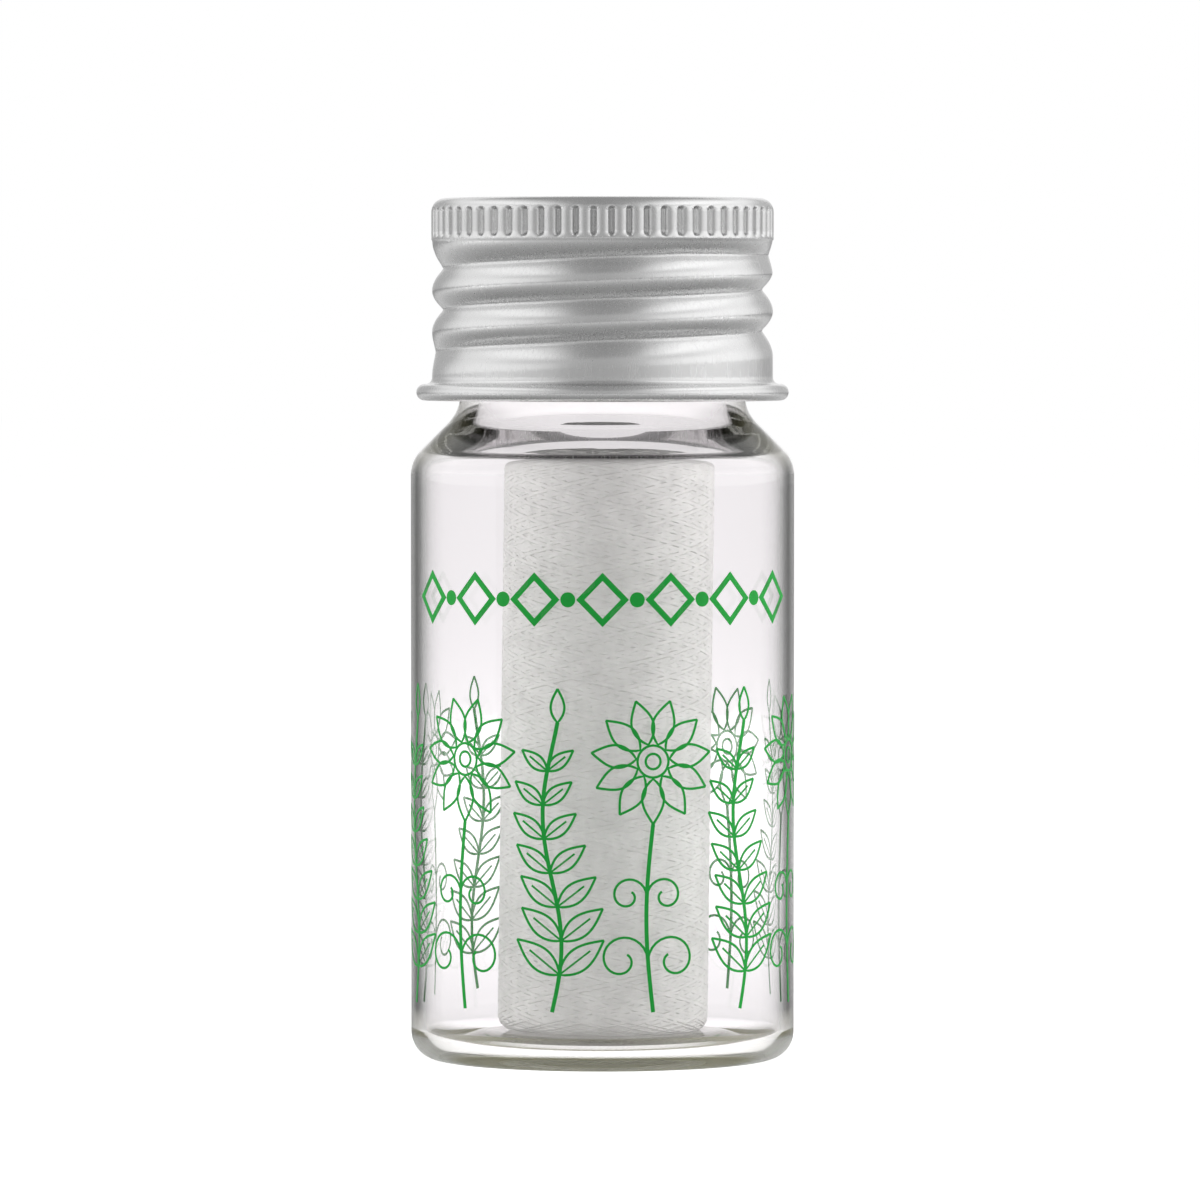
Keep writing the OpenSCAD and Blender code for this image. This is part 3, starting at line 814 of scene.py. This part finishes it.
@dataclass
class FlossBobbin:
    """The bobbin: packed layers under one long cross-wound strand, leaning a little. Millimetres."""

    radius: float = 7.7
    height: float = 43.0
    edge_r: float = 1.2
    spindle_r: float = 1.8
    lean: float = 0.7
    foot_z: float = 2.1172
    strand_w: float = 0.34
    strand_t: float = 0.045
    pack_sink: float = 0.035
    pack_facets: int = 96
    pack_step: float = 1.0
    build_up: float = 0.03
    strokes: int = 70
    stroke_turns: float = 3.809
    margin: float = 0.2
    # The angle in which the strand turns back at each end, in degrees
    turn_back: float = 30.0
    rings_in_turn: int = 48
    sides: int = 6
    wander: float = 0.09
    wanders_in_stroke: int = 4
    seed: int = 7

    def placed(self, points: np.ndarray) -> np.ndarray:
        """Stand points on the floor of the vial, with the bobbin's lean towards +X."""
        angle = math.radians(self.lean)
        x = points[..., 0] * math.cos(angle) + points[..., 2] * math.sin(angle)
        z = points[..., 2] * math.cos(angle) - points[..., 0] * math.sin(angle) + self.foot_z
        return np.stack([x, points[..., 1], z], axis=-1)

    def edge_drop(self, heights: np.ndarray) -> np.ndarray:
        """How far the winding draws in near its ends, where it rounds over."""
        near = np.minimum(heights, self.height - heights)
        short = np.clip(self.edge_r - near, 0, self.edge_r)
        return self.edge_r - np.sqrt(self.edge_r**2 - short**2)

    def path(self) -> np.ndarray:
        """The strand's centre line, up and down the bobbin, each stroke over the ones before."""
        half = 360 * self.stroke_turns
        last = half * self.strokes
        angles = np.linspace(0, last, int(self.rings_in_turn * self.stroke_turns * self.strokes))
        turn = np.round(angles / half)
        away = np.abs(angles - turn * half)
        rounded = np.where(away < self.turn_back, (away**2 / self.turn_back + self.turn_back) / 2, away)
        share = (rounded - self.turn_back / 2) / (half - self.turn_back)
        heights = self.margin + (self.height - 2 * self.margin) * np.where(turn % 2 == 1, 1 - share, share)
        random = np.random.default_rng(self.seed)
        knots = random.normal(0, self.wander, self.strokes * self.wanders_in_stroke)
        heights = heights + np.interp(angles, np.linspace(0, last, len(knots)), knots)
        heights = np.clip(heights, self.margin, self.height - self.margin)
        level = self.build_up * angles / last
        radii = self.radius - self.strand_t / 2 - self.build_up + level - self.edge_drop(heights)
        around = np.radians(angles)
        return np.stack([radii * np.cos(around), radii * np.sin(around), heights], axis=-1)

    def strand(self) -> Object:
        """Sweep the strand's flat section along its path."""
        path = self.path()
        along = np.gradient(path, axis=0)
        along /= np.linalg.norm(along, axis=1, keepdims=True)
        outward = path * (1, 1, 0)
        outward /= np.linalg.norm(outward, axis=1, keepdims=True)
        side = np.cross(along, outward)
        side /= np.linalg.norm(side, axis=1, keepdims=True)
        turns = np.arange(self.sides) * 2 * math.pi / self.sides
        rings = (
            path[:, None, :]
            + self.strand_w / 2 * np.cos(turns)[None, :, None] * side[:, None, :]
            + self.strand_t / 2 * np.sin(turns)[None, :, None] * outward[:, None, :]
        )
        count = self.sides
        first = np.arange(len(path) - 1)[:, None] * count
        here = np.arange(count)[None, :]
        after = (here + 1) % count
        quads = np.stack([first + here, first + count + here, first + count + after, first + after], axis=-1)
        faces = quads.reshape(-1, 4).tolist()
        start, end = list(range(count)), [(len(path) - 1) * count + k for k in reversed(range(count))]
        return mesh_object("floss_strand", self.placed(rings).reshape(-1, 3), [*faces, start, end])

    def pack(self) -> Object:
        """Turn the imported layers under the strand, hollow where the spindle was."""
        mid_r = self.radius - self.pack_sink - self.edge_r
        outline = refined([
            (self.spindle_r, 0),
            *arc((mid_r, self.edge_r), self.edge_r, -90, 0),
            *arc((mid_r, self.height - self.edge_r), self.edge_r, 0, 90),
            (self.spindle_r, self.height),
            (self.spindle_r, self.height / 2),
        ], self.pack_step)
        facets = self.pack_facets
        pack = turned("floss_layers", *spread(outline, facets), even_angles(facets), Ends.LOOP)
        table = np.array([v.co for v in pack.data.vertices]) / MM
        pack.data.vertices.foreach_set("co", (self.placed(table) * MM).ravel())
        pack.data.update()
        return pack

    def build(self, finish: Material) -> list[Object]:
        """Make the bobbin in place of its two CAD solids."""
        pieces = {"floss_bobbin": self.pack(), "floss_winding": self.strand()}
        return [finished(piece, finish, "floss_silk", "bobbin", node) for node, piece in pieces.items()]


@dataclass
class PrintedFrieze:
    """The print on the glass: a plain frieze of sprigs and flowers under a row of lozenges. Millimetres."""

    glass_r: float = 14.0
    film: float = 0.025
    sink: float = 0.01
    line_w: float = 0.18
    stem_w: float = 0.3
    foot_z: float = 4.4
    head_z: float = 27.2
    repeats: int = 6
    # Under 1, the ovals are fullest before their middle
    oval_skew: float = 0.85
    # The sprig:how far its stem sways and over how many half waves, its leaves and its bud
    sprig_sway: float = 0.7
    sprig_waves: float = 2.2
    leaf_pairs: int = 7
    leaf_shares: Point = (0.13, 0.82)
    leaf_l: Point = (4.3, 2.3)
    leaf_way: Point = (0.8, 0.62)
    leaf_fullness: float = 0.4
    vein_shares: Point = (0.7, 0.8)
    bud_room: float = 2.0
    bud_l: float = 2.4
    bud_fullness: float = 0.42
    # The flower: its petals, the rings of its heart, and its curls by place on the stem and size
    petals: int = 11
    flower_r: float = 4.5
    flower_room: float = 0.3
    petal_fullness: float = 0.5
    petal_root_r: float = 1.25
    heart_rs: tuple[float, ...] = (1.15, 0.55)
    flower_sway: float = -0.5
    curls: tuple[Point, ...] = ((0.28, 1.9), (0.62, 1.4))
    curl_angle: float = 405.0
    curl_close_share: float = 0.72
    # The row of lozenges, with a dot between each two
    border_z: float = 34.0
    border_h: float = 3.3
    border_line_w: float = 0.6
    lozenges: int = 7
    lozenge_w: float = 3.2
    lozenge_pitch: float = 5.0
    dot_r: float = 0.25
    shapes: list[tuple[np.ndarray, float]] = field(default_factory=list)

    def line(self, points: Sequence[Any] | np.ndarray, width: float) -> None:
        """Keep a line to be printed, given its points on the unrolled glass."""
        self.shapes.append((np.asarray(points, float), width))

    def loop(self, root: np.ndarray, tip: np.ndarray, fullness: float, width: float) -> None:
        """Draw a pointed oval between two points.

        Args:
            root: One end of the oval.
            tip: The other end.
            fullness: Its width as a share of its length.
            width: The width of the line.
        """
        axis = tip - root
        across = np.array([-axis[1], axis[0]])
        t = np.linspace(0, 1, 15)[:, None]
        bulge = np.sin(math.pi * t**self.oval_skew) * fullness / 2
        there, back = root + axis * t + across * bulge, root + axis * t - across * bulge
        self.line(np.concatenate([there, back[::-1]]), width)

    def ring(self, centre: Sequence[float], radius: float, width: float, steps: int = 28) -> None:
        """Draw a circle."""
        t = np.linspace(0, 2 * math.pi, steps + 1)
        self.line(np.stack([centre[0] + radius * np.cos(t), centre[1] + radius * np.sin(t)], axis=1), width)

    def stem(self, s: float, span: float, sway: float, waves: float, share: Any) -> np.ndarray:
        """Places at shares of a stem's height, where it sways over a number of half waves."""
        return np.stack([s + sway * np.sin(waves * math.pi * share), self.foot_z + span * share], axis=-1)

    def sprig(self, s: float) -> None:
        """Draw an upright sprig with pairs of small oval leaves, at a place round the glass."""
        span = self.head_z - self.foot_z - self.bud_room
        stem = partial(self.stem, s, span, self.sprig_sway, self.sprig_waves)
        self.line(stem(np.linspace(0, 1, 30)), self.stem_w)
        for i in range(self.leaf_pairs):
            share = self.leaf_shares[0] + self.leaf_shares[1] * i / self.leaf_pairs
            root = stem(share)
            length = self.leaf_l[0] - self.leaf_l[1] * share
            for side in (-1, 1):
                leaf = length * np.array([side * self.leaf_way[0], self.leaf_way[1]])
                self.loop(root, root + leaf, self.leaf_fullness, self.line_w)
                self.line([root, root + leaf * self.vein_shares[0]], self.line_w * self.vein_shares[1])
        self.loop(stem(1.0), stem(1.0) + (0, self.bud_l), self.bud_fullness, self.line_w)

    def flower(self, s: float) -> None:
        """Draw a flower on a stem with pairs of curls, at a place round the glass."""
        centre = np.array([s, self.head_z - self.flower_r - self.flower_room])
        stem = partial(self.stem, s, centre[1] - self.flower_r - self.foot_z, self.flower_sway, 1)
        self.line(stem(np.linspace(0, 1, 24)), self.stem_w)
        for radius in self.heart_rs:
            self.ring(centre, radius, self.line_w)
        for i in range(self.petals):
            angle = 2 * math.pi * i / self.petals - math.pi / 2
            way = np.array([math.cos(angle), math.sin(angle)])
            root, tip = centre + self.petal_root_r * way, centre + self.flower_r * way
            self.loop(root, tip, self.petal_fullness, self.line_w)
        turn = np.radians(np.linspace(0, self.curl_angle, 30))
        for share, size in self.curls:
            root = stem(share)
            reach = size * (1 - turn / turn[-1] * self.curl_close_share)
            for side in (-1, 1):
                x, z = root[0] + side * (size - reach * np.cos(turn)), root[1] + reach * np.sin(turn)
                self.line(np.stack([x, z], axis=1), self.line_w)

    def border(self) -> None:
        """Draw the row of lozenges and dots across the front."""
        wide, high, z = self.lozenge_w / 2, self.border_h / 2, self.border_z
        for i in range(self.lozenges):
            s = (i - (self.lozenges - 1) / 2) * self.lozenge_pitch
            lozenge = [(s - wide, z), (s, z + high), (s + wide, z), (s, z - high), (s - wide, z)]
            self.line(lozenge, self.border_line_w)
            if i:
                self.ring((s - self.lozenge_pitch / 2, z), self.dot_r, self.border_line_w, 16)

    def ribbon(self, points: np.ndarray, width: float) -> tuple[np.ndarray, list[list[int]]]:
        """Give a line its width and the film's thickness, wrapped on the glass.

        Args:
            points: The line on the unrolled glass.
            width: Its width.

        Returns:
            The vertices and the faces.
        """
        closed = bool(np.allclose(points[0], points[-1]))
        if closed:
            points = points[:-1]
            along = np.roll(points, -1, axis=0) - np.roll(points, 1, axis=0)
        else:
            along = np.gradient(points, axis=0)
        along /= np.maximum(np.linalg.norm(along, axis=1, keepdims=True), 1e-9)
        across = np.stack([-along[:, 1], along[:, 0]], axis=1) * width / 2
        left, right = points + across, points - across
        rings = []
        for flat, lift in ((left, self.film), (right, self.film), (right, -self.sink), (left, -self.sink)):
            angle = flat[:, 0] / self.glass_r - math.pi / 2
            radius = self.glass_r + lift
            rings.append(np.stack([radius * np.cos(angle), radius * np.sin(angle), flat[:, 1]], axis=1))
        count = len(points)
        faces = []
        for i in range(count if closed else count - 1):
            a, b = 4 * i, 4 * ((i + 1) % count)
            faces += [[a + k, b + k, b + (k + 1) % 4, a + (k + 1) % 4] for k in range(4)]
        if not closed:
            end = 4 * (count - 1)
            faces += [[3, 2, 1, 0], [end, end + 1, end + 2, end + 3]]
        return np.stack(rings, axis=1).reshape(-1, 3), faces

    def build(self, finish: Material) -> Object:
        """Draw the whole print and make it one piece on the vial."""
        self.border()
        cell = 2 * math.pi * self.glass_r / self.repeats
        # Each cell holds a sprig and a flower, half a cell apart
        for i in range(self.repeats):
            self.sprig((i - 0.25) * cell)
            self.flower((i + 0.25) * cell)
        vertices: list[np.ndarray] = []
        faces: list[list[int]] = []
        start = 0
        for points, width in self.shapes:
            some, their_faces = self.ribbon(points, width)
            faces += [[start + k for k in face] for face in their_faces]
            vertices.append(some)
            start += len(some)
        frieze = mesh_object("printed_frieze", np.concatenate(vertices), faces, smooth=False)
        return finished(frieze, finish, "printed_ink", "vial")


def dress(node: Object, finish: Material) -> Object:
    """Give a CAD node its finish, in every one of its material slots, and return the node."""
    if not node.material_slots:
        node.data.materials.append(finish)
    for slot in node.material_slots:
        slot.material = finish
    return node


@dataclass
class Studio:
    """The camera, the lamps, the surroundings and the floor. Lengths in millimetres."""

    camera_x: float = -0.183
    camera_distance: float = 650.0
    camera_z: float = 54.2
    aim_z: float = 33.55
    sensor: float = 36.0
    lens: float = 266.8
    # The nearest and the farthest that the camera sees, in metres
    camera_clip: Point = (0.01, 50.0)
    floor_w: float = 8000.0
    floor_gap: float = 0.02
    fill: float = 0.36
    side_power: float = 3.0
    right_share: float = 1.2
    side_size: Point = (420.0, 620.0)
    side_angle: float = 84.0
    side_distance: float = 520.0
    side_lift: float = 120.0
    top_power: float = 0.6
    top_size: Point = (500.0, 500.0)
    top_place: tuple[float, float, float] = (0.0, -60.0, 620.0)
    # What is mirrored is brighter on the right, in full from this far to the side
    right_gain: float = 1.15
    right_reach: float = 0.4
    # What is mirrored level with the object, by the angle from the camera's side: the room behind the camera,
    # the softboxes, the flags and the backdrop
    ring_levels: tuple[Point, ...] = (
        (0, 0.46), (24, 0.52), (40, 0.84), (55, 1.0), (75, 1.1),
        (105, 1.08), (125, 0.9), (142, 0.5), (165, 0.5), (172, 1.0),
    )
    # The slit over the softboxes, by the same angle, and the lamps over it, by how far they are to the side,
    # each with the heights between which it takes over from what is below
    gap_levels: tuple[Point, ...] = ((0, 0.5), (40, 0.6), (65, 0.72), (90, 0.95), (135, 1.0))
    roof_levels: tuple[Point, ...] = ((0.0, 0.34), (0.28, 0.38), (0.45, 0.85), (0.6, 1.2))
    gap_rise: Point = (0.38, 0.5)
    roof_rise: Point = (0.56, 0.68)

    def camera(self) -> Object:
        """Place the camera at the photograph's viewing angle."""
        data = bpy.data.cameras.new("camera")
        data.sensor_width = self.sensor
        data.lens = self.lens
        data.clip_start, data.clip_end = self.camera_clip
        camera = bpy.data.objects.new("camera", data)
        bpy.context.scene.collection.objects.link(camera)
        camera.location = Vector((self.camera_x, -self.camera_distance, self.camera_z)) * MM
        aim = Vector((self.camera_x, 0, self.aim_z)) * MM - camera.location
        camera.rotation_euler = aim.to_track_quat("-Z", "Y").to_euler()
        bpy.context.scene.camera = camera
        return camera

    def lamp(self, name: str, place: Vector, power: float, size: Point) -> Object:
        """Add a soft lamp that faces the middle of the object and isn't itself seen.

        Args:
            name: The lamp's name.
            place: Where it stands, in millimetres.
            power: Its power in watts.
            size: Its width and height.

        Returns:
            The lamp.
        """
        data = bpy.data.lights.new(name, "AREA")
        data.shape = "RECTANGLE"
        data.size, data.size_y = size[0] * MM, size[1] * MM
        data.energy = power
        lamp = bpy.data.objects.new(name, data)
        bpy.context.scene.collection.objects.link(lamp)
        lamp.location = place * MM
        lamp.rotation_euler = (Vector((0, 0, self.aim_z)) - place).to_track_quat("-Z", "Y").to_euler()
        lamp.visible_camera = lamp.visible_transmission = lamp.visible_glossy = False
        return lamp

    def lamps(self) -> None:
        """Add the two side lamps and the one overhead."""
        angle = math.radians(self.side_angle)
        for name, side, share in (("left_lamp", -1, 1.0), ("right_lamp", 1, self.right_share)):
            place = Vector((side * math.sin(angle), -math.cos(angle), 0)) * self.side_distance
            place.z = self.side_lift
            self.lamp(name, place, self.side_power * share, self.side_size)
        self.lamp("top_lamp", Vector(self.top_place), self.top_power, self.top_size)

    def surroundings(self) -> None:
        """Make the world: white where it is seen, a studio where it is mirrored, an even fill elsewhere."""
        world = bpy.data.worlds.new("studio")
        bpy.context.scene.world = world
        world.use_nodes = True
        world.node_tree.nodes.clear()
        add = partial(add_node, world.node_tree)
        path = add("LightPath").outputs
        way = add("SeparateXYZ", {0: add("TexCoord").outputs["Generated"]}).outputs
        ahead = add("Math", {0: way["Y"], 1: -1.0}, operation="MULTIPLY")
        aside = add("Math", {0: way["X"]}, operation="ABSOLUTE")
        turn = add("Math", {0: aside, 1: ahead}, operation="ARCTAN2")
        azimuth = add("Math", {0: turn, 1: math.pi}, operation="DIVIDE")
        mirrored, gap = (
            add("ValToRGB", {"Fac": azimuth}, stops=[(angle / 180, level) for angle, level in levels])
            for levels in (self.ring_levels, self.gap_levels)
        )
        roof = add("ValToRGB", {"Fac": aside}, stops=self.roof_levels)
        for band, (low, high) in ((gap, self.gap_rise), (roof, self.roof_rise)):
            share = add("MapRange", {"Value": way["Z"], "From Min": low, "From Max": high})
            mirrored = add("Mix", {"Factor": share, "A": mirrored, "B": band}, data_type="RGBA")
        gain = add("MapRange", {
            "Value": way["X"], "From Max": self.right_reach, "To Min": 1.0, "To Max": self.right_gain,
        })
        fill = add("Background", {"Color": linear(WHITE), "Strength": self.fill})
        studio = add("Background", {"Color": mirrored, "Strength": gain})
        white = add("Background", {"Color": linear(WHITE), "Strength": 1.0})
        by_mirror = add("MixShader", {0: path["Is Glossy Ray"], 1: fill, 2: studio})
        seen = add("Math", {0: path["Is Camera Ray"], 1: path["Is Transmission Ray"]}, operation="MAXIMUM")
        add("OutputWorld", {"Surface": add("MixShader", {0: seen, 1: by_mirror, 2: white})})

    def floor(self) -> Object:
        """Lay the pale floor."""
        half, z = self.floor_w / 2, -self.floor_gap
        points = np.array([(-half, -half, z), (half, -half, z), (half, half, z), (-half, half, z)])
        floor = mesh_object("floor", points, [[0, 1, 2, 3]], smooth=False)
        floor.data.materials.append(PaintedBoard(fill=self.fill).build("painted_floor"))
        return floor

    def build(self) -> None:
        """Set up the whole studio and the plain view of its colours."""
        bpy.context.scene.view_settings.view_transform = "Standard"
        self.camera()
        self.lamps()
        self.surroundings()
        self.floor()


def report(step: str, work: Callable[[], Any]) -> None:
    """Do one piece of work and log it.

    Args:
        step: What is made.
        work: The call that makes it.
    """
    made = work()
    pieces = made if isinstance(made, list) else [made]
    LOG.info("%s: %d faces", step, sum(len(piece.data.polygons) for piece in pieces))


def main() -> None:
    """Build the dispenser's pieces in order, dress them and set up the studio."""
    logging.basicConfig(level=logging.INFO, format="%(message)s")
    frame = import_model()
    nodes = frame["nodes"]
    Studio().build()

    report("vial", lambda: GlassVial().build(TubeGlass().build("flame_worked_tube_glass")))
    report("print", lambda: PrintedFrieze().build(FiredInk().build("fired_green_ink")))
    report("cap", lambda: ScrewCap().build(RolledAluminium().build("rolled_lacquered_aluminium")))
    report("bobbin", lambda: FlossBobbin().build(WaxedSilk().build("waxed_plied_silk")))
    report("plug", lambda: dress(nodes["cutter_plug"], StampedSteel().build("stamped_stainless_steel")))
    report("liner", lambda: dress(nodes["cap_liner"], ClosedCellFoam().build("die_cut_foam")))


if __name__ == "__main__":
    main()
